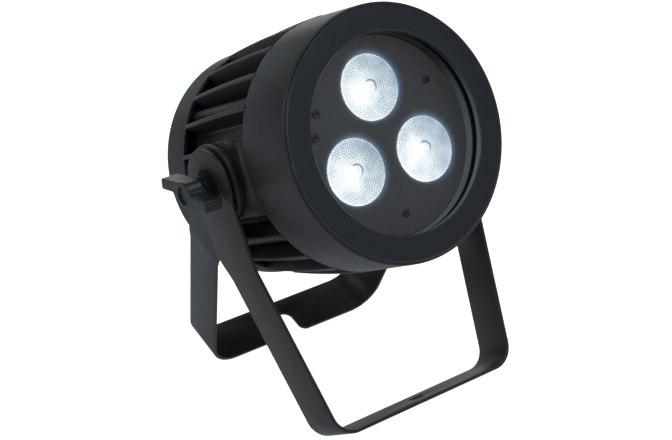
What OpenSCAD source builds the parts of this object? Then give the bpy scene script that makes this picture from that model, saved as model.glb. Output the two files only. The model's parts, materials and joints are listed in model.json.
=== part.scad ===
// Par can stage light: a finned round head with three lensed lamps behind a glass window,
// held between two flat-strap brackets that share one tilt axis and stand on the floor.
// Millimetres. Z is up, the lamp looks towards -Y, X runs along the tilt axis,
// and the origin is on the floor under the middle of the whole light.

/* [Stance] */
// Upward tilt of the head above level
head_tilt = 23.5; // [-90:0.5:180]
// Lean of the front bracket ahead of plumb
front_lean = 29.2; // [0:0.1:60]
// Lean of the rear bracket behind plumb
rear_lean = 23.4; // [0:0.1:60]
// Place of the tilt axis along Y, which centres the light over the origin
pivot_y = -4.276; // [-40:0.001:40]

/* [Brackets] */
// Strap thickness
strap_t = 2.5; // [1.5:0.1:5]
// Strap width along the legs and the floor bars
strap_w = 32; // [20:0.5:50]
// Strap width just below the pivot head
strap_wide = 41.6; // [30:0.2:60]
// Pivot axis to the underside of the front floor bar
front_drop = 180.4; // [140:0.1:240]
// Half width over the front bracket at the pivot
front_half = 95.3; // [90:0.1:120]
// Half width of the front floor bar, measured to the corner of its leg line
front_bar_half = 74; // [50:0.5:95]
// Distance below the pivot where the front legs bend inward
front_bend = 47; // [30:0.5:80]
// Outside radius of the front floor corners
front_corner_r = 17; // [8:0.5:40]
// Radius of the front bracket's round pivot ends
front_head_r = 25; // [18:0.1:35]
// Half width over the rear bracket at the pivot
rear_half = 90.8; // [85:0.1:110]
// Half width of the rear floor bar, measured to the corner of its leg line
rear_bar_half = 72.3; // [50:0.1:90]
// Distance below the pivot where the rear legs bend inward
rear_bend = 55; // [30:0.5:80]
// Outside radius of the rear floor corners
rear_corner_r = 23.4; // [8:0.1:40]
// Radius of the rear bracket's round pivot ends
rear_head_r = 27; // [18:0.1:35]
// Radius of the clamp hole in the front floor bar
clamp_hole_r = 5.5; // [4:0.1:8]
// Width of the open clamp slot in the rear floor bar
slot_w = 13; // [8:0.1:20]

/* [Head casting] */
// Front face of the bezel ahead of the pivot axis
face_d = 83.7; // [70:0.1:110]
// Outer radius of the bezel
bezel_r = 81.6; // [60:0.1:110]
// Radius of the front opening
opening_r = 64.6; // [40:0.1:100]
// Outer radius of the front housing at its rear edge
shell_rear_r = 84.8; // [60:0.1:120]
// Outer radius of the front housing at its front edge
shell_front_r = 83.2; // [60:0.1:120]
// Rear edge of the front housing ahead of the pivot axis
shell_rear_d = 35.2; // [20:0.1:60]
// Radius of the heat sink's tube between the fins
tube_r = 68; // [50:0.5:80]
// Inside radius of the heat sink's tube
cavity_r = 62; // [40:0.5:75]
// Fins round the full circle, before the two side bosses replace one each
fin_places = 24; // [12:1:36]
// Fin thickness at the front end
fin_front_w = 4.4; // [2:0.1:8]
// Fin thickness at the rear end
fin_rear_w = 3; // [1.5:0.1:8]
// Fin tip radius at the front end
fin_front_r = 85.2; // [60:0.1:100]
// Fin tip radius half way along
fin_mid_r = 84.3; // [60:0.1:100]
// Fin tip radius at the rear end
fin_rear_r = 81.2; // [60:0.1:100]
// Outer radius of the rear cover
cover_r = 79.7; // [60:0.1:100]
// Front rim of the rear cover behind the pivot axis
cover_rim_d = 56.5; // [40:0.1:80]
// Back face of the rear cover behind the pivot axis
cover_back_d = 86; // [60:0.1:120]
// Radius of the rounded edge round the back face
cover_edge_r = 7; // [2:0.5:20]
// Side boss face out from the middle
boss_x = 84; // [80:0.1:100]
// Radius of the flat ring on each side boss
boss_r = 25.6; // [15:0.1:40]
// Half height of the side boss where it runs forward to the housing
pad_half = 26; // [15:0.5:40]

/* [Optics] */
// Radius of the circle the lenses sit on
lens_ring_r = 32.1; // [20:0.1:45]
// Visible radius of each lens
lens_r = 21.4; // [10:0.1:25]
// Front face of the lens panel ahead of the pivot axis
panel_d = 67; // [55:0.1:75]
// Radius of the circle the panel screws sit on
panel_screw_ring_r = 51.6; // [40:0.1:60]
// Front of the LED board ahead of the pivot axis
board_d = 44; // [43:0.1:50]
// Glass thickness
glass_t = 4; // [3:0.5:6]

/* [Clamping knobs] */
// Outer face of each knob out from the middle
knob_x = 114.7; // [105:0.1:130]
// Reach of each wing from the pivot axis
wing_reach = 25.7; // [15:0.5:40]
// Radius of the knob hub
hub_r = 8.6; // [7:0.1:15]
// Radius of the threaded stud
stud_r = 4; // [2.5:0.5:6]

/* [Rear controls] */
// Radius of each menu button
button_r = 4; // [2:0.5:6]
// Spacing of the menu buttons
button_pitch = 14; // [10:0.5:20]
// Height of the button row above the head's centre line
button_row = 2; // [-10:0.5:10]
// Distance a button stands out of the cover
button_proud = 2; // [1:0.1:4]

/* [Hidden] */
$fn = 96;
// small overlap that joins two solids of one piece
eps = 0.01;
// thickness of the rear cover
wall = 3;
// the straps narrow between these distances below the pivot
neck_from = 40;
neck_to = 62;
// the open slot's round end is centred this far ahead of the strap's middle
slot_end = 2.5;
// radial play of a close fit and of a loose one
play = 0.05;
loose = 0.15;
// gap that keeps flat faces that slide on each other apart
seat_gap = 0.02;
pivot_h = front_drop * cos(front_lean) + strap_w / 2 * sin(front_lean);
rear_drop = (pivot_h - strap_w / 2 * sin(rear_lean)) / cos(rear_lean);
// stack on the tilt axis, from the boss outward
disc_t = 3;
pressure_t = rear_half - strap_t - boss_x - disc_t;
spacer_t = front_half - strap_t - rear_half;
lock_t = 1;
knob_in_x = front_half + lock_t;
stud_hole_r = stud_r + play;
stud_in_x = 68;
insert_r = 6;
insert_in_x = 66;
wing_in_x = 102;
// Outline of one knob wing, from the hub out to the tip and back; the other wing is turned half way round.
wing_outline = [[hub_r * 0.85, hub_r * 0.45], [12.1, 1.2], [wing_reach - 1, 3.1],
    [wing_reach, 2.1], [wing_reach, -2.2], [wing_reach - 1, -3.2], [10.7, -5.8], [0.5, 0.02 - hub_r]];
// front stack, from the bezel inward
lip_t = 4.7;
lip_back_d = face_d - lip_t;
gasket_t = 1;
glass_r = 71;
pocket_r = glass_r + 0.4;
ledge_r = opening_r + 0.8;
glass_front_d = lip_back_d - gasket_t;
ledge_d = glass_front_d - glass_t - gasket_t;
ledge_t = 6.5;
bezel_screw_ring_r = 77.15;
flange_back_d = lip_back_d - 4.5;
panel_t = 2.5;
panel_screw_spots = [30, 150, 166.9, 270];
board_screw_spots = [0, 60, 120, 200, 240, 300];
lens_spots = [90, 210, 330];
// heat sink plate that carries the LED board
plate_t = 8;
plate_front_d = board_d - 2;
plate_back_d = plate_front_d - plate_t;
plate_r = 81.2;
pad_film_t = 0.4;
board_t = board_d - plate_front_d - pad_film_t;
board_r = 57;
shell_in_r = 81.5;
tube_back_d = -64;
fin_back_d = -55.3;
fin_middle_d = (fin_back_d + shell_rear_d) / 2;
rib_ring_r = 72.5;
rib_r = 4;
rib_spots = [37.5, 142.5, 217.5, 322.5];
screw4_r = 1.95;
screw3_r = 1.5;
seal_groove_d = 37;
seal_groove_t = 2.5;
cable_hole_r = 4;
// inside the head, behind the plate
pillar_spots = [45, 135, 225, 315];
pillar_ring_r = 46;
driver_d = 12;
supply_d = -14;
pcb_t = 1.6;
pcb_r = 54;
cover_screw_ring_r = 65;
cover_in_d = -cover_back_d + wall;
control_d = cover_in_d + 8;
control_w = 76;
control_h = 40;
control_u = 12;
control_pillar_x = 33;
control_pillar_u = 15;
display_u = 22;
button_travel = 1.2;
// outer end of the switches the buttons press
switch_d = control_d - pcb_t - 2.9;
button_spots_x = [-1.5 * button_pitch, -0.5 * button_pitch, 0.5 * button_pitch, 1.5 * button_pitch];
power_spots = [[-36, -22], [36, -22]];
signal_spots = [[-13, -42], [13, -42]];
vent_spot = [0, -16];
eye_u = 47;
socket_depth = 12;

black_paint = [0.09, 0.09, 0.1];
black_plastic = [0.06, 0.06, 0.07];
steel = [0.72, 0.72, 0.74];
rubber = [0.03, 0.03, 0.03];
board_green = [0.05, 0.28, 0.16];
clear = [0.85, 0.92, 0.98, 0.4];
brass = [0.8, 0.66, 0.35];

// Places head parts: their +Z looks out of the lamp and their +Y is the top of the head.
module on_head() {
    translate([0, pivot_y, pivot_h]) rotate([90 - head_tilt, 0, 0]) children();
}

// Places parts that turn about the tilt axis, with +Y still the back of the light.
module on_pivot(lean) {
    translate([0, pivot_y, pivot_h]) rotate([lean, 0, 0]) children();
}

// Repeats a child at the given angles on a circle about the head's centre line.
module around(r, spots) {
    for (a = spots) rotate([0, 0, a]) translate([r, 0, 0]) children();
}

// A round bar along Z from one height to another.
module bar(r, from, to) {
    translate([0, 0, from]) cylinder(r = r, h = to - from);
}

// A flat ring along Z from one height to another.
module ring(r_out, r_in, from, to) {
    difference() {
        bar(r_out, from, to);
        bar(r_in, from - 1, to + 1);
    }
}

// A round bar along X from one place to another.
module cross_bar(r, from, to) {
    translate([from, 0, 0]) rotate([0, 90, 0]) cylinder(r = r, h = to - from);
}

// A flat ring along X from one place to another.
module cross_ring(r_out, r_in, from, to) {
    difference() {
        cross_bar(r_out, from, to);
        cross_bar(r_in, from - 1, to + 1);
    }
}

// A block centred in X and Y, between two heights.
module slab(w, h, from, to) {
    translate([-w / 2, -h / 2, from]) cube([w, h, to - from]);
}

// The same part on both ends of the tilt axis.
module both_sides() {
    children();
    mirror([1, 0, 0]) children();
}

// A socket-head screw along Z: its head sits behind the seat and its shank runs to the tip.
module socket_screw(shank_r, head_r, head_t, seat, tip) {
    translate([0, 0, seat]) rotate([tip > seat ? 0 : 180, 0, 0]) difference() {
        union() {
            translate([0, 0, -eps]) cylinder(r = shank_r, h = abs(tip - seat) + eps);
            translate([0, 0, -head_t]) cylinder(r = head_r, h = head_t);
        }
        translate([0, 0, -head_t - 1]) cylinder(r = head_r * 0.5, h = head_t * 0.55 + 1, $fn = 6);
    }
}

// ---- Brackets ----

// Points of an arc that rounds the corner p of the line a-p-b.
function fillet(a, p, b, r, steps) =
    let (
        u = (a - p) / norm(a - p),
        v = (b - p) / norm(b - p),
        half = acos(u * v) / 2,
        c = p + (u + v) / norm(u + v) * r / sin(half),
        side = u[0] * v[1] - u[1] * v[0] > 0 ? 1 : -1,
        from = p + u * r / tan(half) - c,
        first = atan2(from[1], from[0]),
        step = -side * (180 - 2 * half) / steps
    )
    [for (i = [0 : steps]) c + r * [cos(first + step * i), sin(first + step * i)]];

// Half of a bracket's edge, from the top of a leg to the middle of the bar, inset by t.
// x is sideways and y is down from the pivot as a negative number.
function leg_line(half, bend, bar_half, drop, corner_r, t) =
    let (lean = atan((half - bar_half) / (drop - bend)))
    let (top = [half - t, 40])
    let (knee = [half - t, -bend + t * tan(lean / 2)])
    let (foot = [bar_half - t * (1 - sin(lean)) / cos(lean), -drop + t])
    let (middle = [0, -drop + t])
    concat([top], fillet(top, knee, foot, 30 - t, 8), fillet(knee, foot, middle, corner_r - t, 20));

function mirrored(line) = [for (p = line) [-p[0], p[1]]];

function backward(line) = [for (i = [len(line) - 1 : -1 : 0]) line[i]];

// The bent strap seen from the front, extruded through its width.
module bent_strap(half, bend, bar_half, drop, corner_r) {
    outer = leg_line(half, bend, bar_half, drop, corner_r, 0);
    inner = leg_line(half, bend, bar_half, drop, corner_r, strap_t);
    rotate([90, 0, 0]) translate([0, 0, -50]) linear_extrude(height = 100) {
        polygon(concat(outer, backward(mirrored(outer)), mirrored(inner), backward(inner)));
    }
}

// The same strap seen from the side: a round head, a wide neck, then the narrower leg.
module strap_side(head_r, drop) {
    union() {
        cross_bar(head_r, -120, 120);
        rotate([90, 0, 90]) translate([0, 0, -120]) linear_extrude(height = 240)
            polygon([[-strap_wide / 2, 0], [strap_wide / 2, 0], [strap_wide / 2, -neck_from],
                [strap_w / 2, -neck_to], [strap_w / 2, -drop - 5], [-strap_w / 2, -drop - 5],
                [-strap_w / 2, -neck_to], [-strap_wide / 2, -neck_from]]);
    }
}

module front_bracket() {
    color(black_paint) on_pivot(-front_lean) difference() {
        intersection() {
            bent_strap(front_half, front_bend, front_bar_half, front_drop, front_corner_r);
            strap_side(front_head_r, front_drop);
        }
        cross_bar(stud_hole_r, -120, 120);
        bar(clamp_hole_r, -front_drop - 5, -front_drop + 10);
    }
}

module rear_bracket() {
    color(black_paint) on_pivot(rear_lean) difference() {
        intersection() {
            bent_strap(rear_half, rear_bend, rear_bar_half, rear_drop, rear_corner_r);
            strap_side(rear_head_r, rear_drop);
        }
        cross_bar(stud_hole_r, -120, 120);
        translate([0, -slot_end, 0]) bar(slot_w / 2, -rear_drop - 5, -rear_drop + 10);
        translate([-slot_w / 2, -slot_end - 30, -rear_drop - 5]) cube([slot_w, 30, 15]);
        both_sides() slot_mouth();
    }
}

// Rounds one corner where the open slot leaves the front edge of the rear bar.
module slot_mouth() {
    mouth_r = 6;
    translate([slot_w / 2 - 1, -strap_w / 2 - 1, -rear_drop - 5]) difference() {
        cube([mouth_r + 1, mouth_r + 1, 15]);
        translate([mouth_r + 1, mouth_r + 1, -1]) cylinder(r = mouth_r, h = 17);
    }
}

module lock_washers() {
    teeth = 18;
    color(steel) on_pivot(0) both_sides() difference() {
        union() {
            cross_bar(10.4, front_half, front_half + lock_t);
            for (i = [0 : teeth - 1]) rotate([i * 360 / teeth, 0, 0])
                translate([front_half, -0.9, 9]) cube([lock_t, 1.8, 2.6]);
        }
        cross_bar(stud_hole_r + loose, front_half - 1, front_half + lock_t + 1);
    }
}

// ---- Clamping knobs ----

// One knob for the +X side: collar, hub and two wings set off from each other, with a blind stud bore.
module knob_shape() {
    difference() {
        union() {
            cross_bar(hub_r - 0.7, knob_in_x, wing_in_x + 1);
            cross_bar(hub_r, wing_in_x, knob_x);
            translate([wing_in_x, 0, 0]) rotate([90, 0, 90]) linear_extrude(height = knob_x - wing_in_x)
                polygon(concat(wing_outline, [for (p = wing_outline) -p]));
        }
        cross_bar(hub_r * 0.7, knob_x - 1.6, knob_x + 1);
        cross_bar(stud_r + 0.02, knob_in_x - 1, wing_in_x + 6);
    }
}

// One threaded stud for the +X side, from the insert in the head to inside the knob.
module stud_shape() {
    cross_bar(stud_r, stud_in_x, wing_in_x + 6);
}

module knob_left() {
    color(black_plastic) on_pivot(0) rotate([0, 0, 180]) knob_shape();
}

module knob_right() {
    color(black_plastic) on_pivot(0) knob_shape();
}

module stud_left() {
    color(steel) on_pivot(0) mirror([1, 0, 0]) stud_shape();
}

module stud_right() {
    color(steel) on_pivot(0) stud_shape();
}

// ---- Washers and discs between the head and the brackets ----

module friction_discs() {
    color(rubber) on_pivot(0) both_sides() cross_ring(24.6, stud_hole_r + loose, boss_x, boss_x + disc_t);
}

module pressure_washers() {
    color(steel) on_pivot(0) both_sides()
        cross_ring(21, stud_hole_r + loose, boss_x + disc_t, boss_x + disc_t + pressure_t - seat_gap);
}

module spacer_washers() {
    color(rubber) on_pivot(0) both_sides()
        cross_ring(19, stud_hole_r + loose, rear_half + seat_gap, rear_half + spacer_t - seat_gap);
}

module pivot_inserts() {
    color(brass) on_head() both_sides() cross_ring(insert_r, stud_hole_r, insert_in_x, boss_x);
}

// ---- Front of the head ----

module bezel_ring() {
    color(black_paint) on_head() difference() {
        rotate_extrude() polygon([[opening_r, lip_back_d], [opening_r, face_d - 0.5],
            [opening_r + 0.5, face_d], [bezel_r - 0.6, face_d], [bezel_r, face_d - 0.6],
            [bezel_r, lip_back_d]]);
        around(bezel_screw_ring_r, pillar_spots) bar(screw3_r + play, lip_back_d - 1, face_d - 1.2);
    }
}

module bezel_screws() {
    color(steel) on_head() around(bezel_screw_ring_r, pillar_spots)
        socket_screw(screw3_r, 2.7, 3, flange_back_d, face_d - 1.6);
}

module front_gasket() {
    color(rubber) on_head() ring(glass_r - 0.2, ledge_r + 0.6, glass_front_d, lip_back_d);
}

module front_glass() {
    color(clear) on_head() bar(glass_r, ledge_d + gasket_t, glass_front_d);
}

module glass_seal() {
    color(rubber) on_head() ring(glass_r - 0.2, ledge_r + 0.6, ledge_d, ledge_d + gasket_t);
}

// Shell wall, the pocket that holds the glass, and four bosses for the long housing screws.
module front_housing() {
    rim_r = bezel_r + 0.3;
    front_edge_d = face_d - 1.4;
    color(black_paint) on_head() difference() {
        union() {
            rotate_extrude() polygon([[shell_in_r, shell_rear_d], [shell_rear_r - 0.4, shell_rear_d],
                [shell_rear_r, shell_rear_d + 0.4], [shell_front_r, front_edge_d - 0.9],
                [shell_front_r - 0.9, front_edge_d], [rim_r, front_edge_d], [rim_r, lip_back_d],
                [pocket_r, lip_back_d], [pocket_r, ledge_d], [ledge_r, ledge_d],
                [ledge_r, ledge_d - ledge_t], [pocket_r + 2, ledge_d - ledge_t],
                [pocket_r + 2, flange_back_d], [shell_in_r - 1, flange_back_d],
                [shell_in_r - 1, plate_front_d + 3], [shell_in_r, plate_front_d + 2]]);
            around(rib_ring_r, rib_spots) bar(rib_r + 0.6, plate_front_d, ledge_d - ledge_t + 1);
            around(0, rib_spots) translate([rib_ring_r, -3, plate_front_d + 3])
                cube([shell_in_r - rib_ring_r, 6, ledge_d - ledge_t - plate_front_d - 2]);
        }
        around(rib_ring_r, rib_spots) bar(screw4_r + play, plate_front_d - 1, plate_front_d + 14);
        around(bezel_screw_ring_r, pillar_spots) bar(screw3_r + loose, flange_back_d - 1, lip_back_d + 1);
    }
}

module lens_panel() {
    color(black_paint) on_head() difference() {
        bar(ledge_r - 0.4, panel_d - panel_t, panel_d);
        around(lens_ring_r, lens_spots) bar(lens_r + 0.2, panel_d - panel_t - 1, panel_d + 1);
        around(panel_screw_ring_r, panel_screw_spots) {
            bar(3.2, panel_d - 1.3, panel_d + 1);
            bar(screw3_r + loose, panel_d - panel_t - 1, panel_d);
        }
    }
}

module panel_screws() {
    color(steel) on_head() around(panel_screw_ring_r, panel_screw_spots)
        socket_screw(screw3_r, 2.4, 1.2, panel_d - 1.3, panel_d - 9);
}

module panel_standoffs() {
    color(brass) on_head() around(panel_screw_ring_r, panel_screw_spots) difference() {
        union() {
            bar(3, plate_front_d, panel_d - panel_t);
            bar(screw3_r, plate_front_d - 5, plate_front_d + 1);
        }
        bar(screw3_r + play, panel_d - 10, panel_d);
    }
}

// Solid optic: a flat front disc over a cone that narrows to a pocket for the emitter.
module lens_shape(spot) {
    back_d = board_d + 1.6;
    color(clear) on_head() rotate([0, 0, spot]) translate([lens_ring_r, 0, 0]) rotate_extrude()
        polygon([[0, back_d + 5], [4.2, back_d + 5], [4.2, back_d], [7, back_d],
            [19.6, panel_d - 3.2], [lens_r, panel_d - 2.4], [lens_r, panel_d + 0.3],
            [lens_r - 0.4, panel_d + 0.6], [0, panel_d + 0.6]]);
}

module lens_top() {
    lens_shape(90);
}

module lens_left() {
    lens_shape(210);
}

module lens_right() {
    lens_shape(330);
}

module lens_holders() {
    back_d = board_d + 1.6;
    color(black_plastic) on_head() around(lens_ring_r, lens_spots) rotate_extrude()
        polygon([[6, board_d], [9, board_d], [9, back_d + 1], [20.4, panel_d - 6],
            [19, panel_d - 5.2], [7.4, back_d], [6, back_d]]);
}

module led_emitters() {
    color([0.9, 0.85, 0.4]) on_head() around(lens_ring_r, lens_spots) union() {
        slab(7, 7, board_d, board_d + 1);
        bar(2.9, board_d + 0.5, board_d + 2.4);
    }
}

module led_board() {
    color([0.9, 0.9, 0.88]) on_head() difference() {
        bar(board_r, board_d - board_t, board_d);
        around(panel_screw_ring_r, panel_screw_spots) bar(3.3, board_d - 3, board_d + 1);
        around(panel_screw_ring_r, board_screw_spots)
            bar(screw3_r + loose, board_d - 3, board_d + 1);
        bar(cable_hole_r, board_d - 3, board_d + 1);
    }
}

module board_screws() {
    color(steel) on_head() around(panel_screw_ring_r, board_screw_spots)
        socket_screw(screw3_r, 2.7, 2, board_d, plate_front_d - 5);
}

module thermal_pad() {
    color([0.7, 0.7, 0.72]) on_head() difference() {
        bar(board_r, plate_front_d, board_d - board_t);
        around(panel_screw_ring_r, panel_screw_spots) bar(3.3, plate_front_d - 1, board_d);
        around(panel_screw_ring_r, board_screw_spots) bar(2, plate_front_d - 1, board_d);
        bar(cable_hole_r, plate_front_d - 1, board_d);
    }
}

module led_plug() {
    color([0.95, 0.95, 0.9]) on_head() difference() {
        slab(11, 8, board_d, board_d + 6);
        bar(2.3, board_d - 1, board_d + 3.5);
    }
}

// ---- Heat sink ----

// One straight fin along the head, from front_d to the rear, getting thinner.
module fin(front_d, front_w) {
    translate([tube_r - 3, 0, 0]) rotate([0, 90, 0]) linear_extrude(height = 24)
        polygon([[-front_d, -front_w / 2], [-fin_back_d, -fin_rear_w / 2],
            [-fin_back_d, fin_rear_w / 2], [-front_d, front_w / 2]]);
}

// How many fin places a fin is from the nearer side boss.
function fins_from_boss(i) = min(i % (fin_places / 2), fin_places / 2 - i % (fin_places / 2));

// Fins all round, none at a side boss; the ones beside a boss start behind its pad.
module fins() {
    intersection() {
        for (i = [0 : fin_places - 1]) rotate([0, 0, i * 360 / fin_places])
            if (fins_from_boss(i) > 1) fin(shell_rear_d - 0.1, fin_front_w);
            else if (fins_from_boss(i) == 1) fin(fin_middle_d, (fin_front_w + fin_rear_w) / 2);
        rotate_extrude() polygon([[0, fin_back_d - 1], [fin_rear_r, fin_back_d - 1],
            [fin_mid_r, fin_middle_d], [fin_front_r, shell_rear_d + 1],
            [0, shell_rear_d + 1]]);
    }
}

// Side boss: a rounded pad that runs forward to the housing, with a flat ring for the discs.
module side_boss() {
    intersection() {
        union() {
            cross_bar(pad_half, cavity_r - 1, boss_x + 5);
            translate([cavity_r - 1, -pad_half, 0]) cube([boss_x, pad_half * 2, shell_rear_d - 0.1]);
        }
        bar(boss_x - 0.2, -40, 60);
    }
    cross_bar(boss_r, cavity_r - 1, boss_x);
}

module heat_sink() {
    color(black_paint) on_head() difference() {
        union() {
            bar(plate_r, plate_back_d, plate_front_d);
            bar(tube_r, tube_back_d, plate_front_d - 1);
            fins();
            both_sides() side_boss();
            around(rib_ring_r, rib_spots) bar(rib_r, fin_back_d, plate_front_d - 1);
            around(0, rib_spots) translate([tube_r - 3, -rib_r + 0.6, fin_back_d])
                cube([rib_ring_r - tube_r + 3, rib_r * 2 - 1.2, plate_back_d - fin_back_d + 1]);
        }
        bar(cavity_r, tube_back_d - 1, plate_back_d);
        ring(plate_r + 1, plate_r - 2, seal_groove_d, seal_groove_d + seal_groove_t);
        both_sides() cross_bar(insert_r + play, insert_in_x, boss_x + 1);
        around(rib_ring_r, rib_spots) bar(screw4_r + loose, tube_back_d, plate_front_d + 1);
        around(panel_screw_ring_r, concat(panel_screw_spots, board_screw_spots))
            bar(screw3_r + play, plate_front_d - 6, plate_front_d + 1);
        around(pillar_ring_r, pillar_spots) bar(screw3_r + play, plate_back_d - 1, plate_back_d + 5);
        around(cover_screw_ring_r, pillar_spots) bar(screw3_r + play, tube_back_d - 1, tube_back_d + 14);
        bar(cable_hole_r, plate_back_d - 1, plate_front_d + 1);
    }
}

module housing_seal() {
    color(rubber) on_head()
        ring(plate_r + 0.2, plate_r - 1.9, seal_groove_d + 0.1, seal_groove_d + seal_groove_t - 0.1);
}

module housing_screws() {
    color(steel) on_head() around(rib_ring_r, rib_spots)
        socket_screw(screw4_r, 3.5, 4, fin_back_d, plate_front_d + 12);
}

// ---- Electronics inside the tube ----

module round_board(front) {
    difference() {
        bar(pcb_r, front - pcb_t, front);
        around(pillar_ring_r, pillar_spots) bar(screw3_r + loose, front - pcb_t - 1, front + 1);
        translate([pcb_r - 5, -6, front - 3]) cube([10, 12, 5]);
    }
}

module lower_pillars() {
    color(brass) on_head() around(pillar_ring_r, pillar_spots) difference() {
        union() {
            bar(3, driver_d, plate_back_d);
            bar(screw3_r, plate_back_d - 1, plate_back_d + 4.5);
        }
        bar(screw3_r + play, driver_d - 1, driver_d + 6);
    }
}

module driver_board() {
    color(board_green) on_head() union() {
        round_board(driver_d);
        translate([-20, 18, 0]) slab(12, 12, driver_d - eps, driver_d + 9);
        translate([20, 18, 0]) slab(12, 12, driver_d - eps, driver_d + 9);
        translate([0, -24, 0]) slab(18, 10, driver_d - eps, driver_d + 5);
    }
}

module upper_pillars() {
    color(brass) on_head() around(pillar_ring_r, pillar_spots) difference() {
        union() {
            bar(3, supply_d, driver_d - pcb_t);
            bar(screw3_r, driver_d - pcb_t - 1, driver_d + 5);
        }
        bar(screw3_r + play, supply_d - 1, supply_d + 7);
    }
}

module power_supply() {
    color(board_green) on_head() union() {
        round_board(supply_d);
        translate([-14, 8, 0]) slab(26, 24, supply_d - pcb_t - 22, supply_d - pcb_t + eps);
        translate([22, 14, 0]) bar(9, supply_d - pcb_t - 25, supply_d - pcb_t + eps);
        translate([22, -12, 0]) bar(6, supply_d - pcb_t - 18, supply_d - pcb_t + eps);
        translate([-16, -28, 0]) slab(22, 9, supply_d - pcb_t - 14, supply_d - pcb_t + eps);
    }
}

module pillar_screws() {
    color(steel) on_head() around(pillar_ring_r, pillar_spots)
        socket_screw(screw3_r, 2.7, 2.4, supply_d - pcb_t, supply_d + 5);
}

module led_cable() {
    color([0.7, 0.1, 0.08]) on_head() bar(2.2, driver_d, board_d + 3.4);
}

// Leads from the backs of the power sockets to the supply board.
module supply_cables() {
    color(black_plastic) on_head() for (p = power_spots) translate([p[0], p[1], 0])
        bar(2, cover_in_d + socket_depth, supply_d - pcb_t);
}

// ---- Rear cover and controls ----

module rear_seal() {
    color(rubber) on_head() difference() {
        ring(tube_r - 0.2, cavity_r + 0.2, tube_back_d - 1, tube_back_d);
        around(cover_screw_ring_r, pillar_spots) bar(screw3_r + 2 * loose, tube_back_d - 2, tube_back_d + 1);
    }
}

// Repeats a child at the four corners of the control board.
module control_corners() {
    for (x = [-control_pillar_x, control_pillar_x], y = [-control_pillar_u, control_pillar_u])
        translate([x, control_u + y, 0]) children();
}

// Points of the rounded edge of the rear cover, from its side to its back.
function cover_arc(r) = [for (i = [0 : 12])
    [cover_r - cover_edge_r + r * cos(i * 7.5), -cover_back_d + cover_edge_r - r * sin(i * 7.5)]];

module rear_cover() {
    color(black_paint) on_head() difference() {
        union() {
            rotate_extrude() polygon(concat([[cover_r, -cover_rim_d]], cover_arc(cover_edge_r),
                [[0, -cover_back_d], [0, cover_in_d]], backward(cover_arc(cover_edge_r - wall)),
                [[cover_r - wall, -cover_rim_d]]));
            ring(tube_r, cavity_r, cover_in_d - 1, tube_back_d - 1);
            control_corners() bar(3, cover_in_d - 1, control_d - pcb_t);
        }
        control_corners() bar(1.25, cover_in_d, control_d);
        around(cover_screw_ring_r, pillar_spots) {
            bar(screw3_r + loose, -cover_back_d - 1, tube_back_d);
            bar(3, -cover_back_d - 1, -cover_back_d + 3.2);
        }
        for (x = button_spots_x) translate([x, button_row, 0])
            bar(button_r + play, -cover_back_d - 1, cover_in_d + 1);
        translate([0, display_u, 0]) slab(40, 18, -cover_back_d - 1, -cover_back_d + 1.5);
        translate([0, display_u, 0]) slab(34, 12, -cover_back_d - 1, cover_in_d + 1);
        for (p = power_spots) translate([p[0], p[1], 0]) bar(9.6, -cover_back_d - 1, cover_in_d + 1);
        for (p = signal_spots) translate([p[0], p[1], 0]) bar(7.6, -cover_back_d - 1, cover_in_d + 1);
        translate([vent_spot[0], vent_spot[1], 0]) bar(3.1, -cover_back_d - 1, cover_in_d + 1);
        translate([0, eye_u, 0]) bar(3.1, -cover_back_d - 1, cover_in_d + 1);
    }
}

module cover_screws() {
    color(steel) on_head() around(cover_screw_ring_r, pillar_spots)
        socket_screw(screw3_r, 2.7, 3, -cover_back_d + 3.2, tube_back_d + 10);
}

module control_board() {
    color(board_green) on_head() difference() {
        translate([0, control_u, 0]) slab(control_w, control_h, control_d - pcb_t, control_d);
        control_corners() bar(1.3, control_d - 3, control_d + 1);
    }
}

module control_screws() {
    color(steel) on_head() control_corners() socket_screw(1.2, 2.2, 1.8, control_d, cover_in_d + 2);
}

module button_switches() {
    color(black_plastic) on_head() for (x = button_spots_x) translate([x, button_row, 0]) union() {
        slab(6, 6, control_d - pcb_t - 2.4, control_d - pcb_t);
        bar(1.7, switch_d, control_d - pcb_t - 2);
    }
}

module display_module() {
    color([0.15, 0.15, 0.16]) on_head() translate([0, display_u, 0])
        slab(32, 11, cover_in_d + 0.4, control_d - pcb_t);
}

module display_window() {
    color([0.15, 0.02, 0.02, 0.7]) on_head() translate([0, display_u, 0])
        slab(39.8, 17.8, -cover_back_d, -cover_back_d + 1.5);
}

// Panel socket seen from behind: a flange, a barrel with a deep well, and contact pins.
module socket_shape(flange_r, barrel_r, well_r, body_r, pins) {
    difference() {
        union() {
            bar(flange_r, -cover_back_d - 2, -cover_back_d);
            bar(barrel_r, -cover_back_d - 10, -cover_back_d - 1);
            bar(body_r, -cover_back_d - 1, cover_in_d + socket_depth);
        }
        bar(well_r, -cover_back_d - 11, -cover_back_d + 5);
    }
    around(well_r * 0.5, [for (i = [0 : pins - 1]) 90 + i * 360 / pins])
        bar(1, -cover_back_d - 5, -cover_back_d + 6);
}

module power_sockets() {
    color(black_plastic) on_head() for (p = power_spots)
        translate([p[0], p[1], 0]) socket_shape(12.5, 11, 8.5, 9.5, 3);
}

module signal_sockets() {
    color(black_plastic) on_head() for (p = signal_spots)
        translate([p[0], p[1], 0]) socket_shape(10.5, 9, 6.6, 7.5, 5);
}

module pressure_vent() {
    color(black_plastic) on_head() translate([vent_spot[0], vent_spot[1], 0]) union() {
        bar(5.5, -cover_back_d - 3, -cover_back_d);
        bar(3, -cover_back_d - 1, cover_in_d + 3);
    }
}

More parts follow.
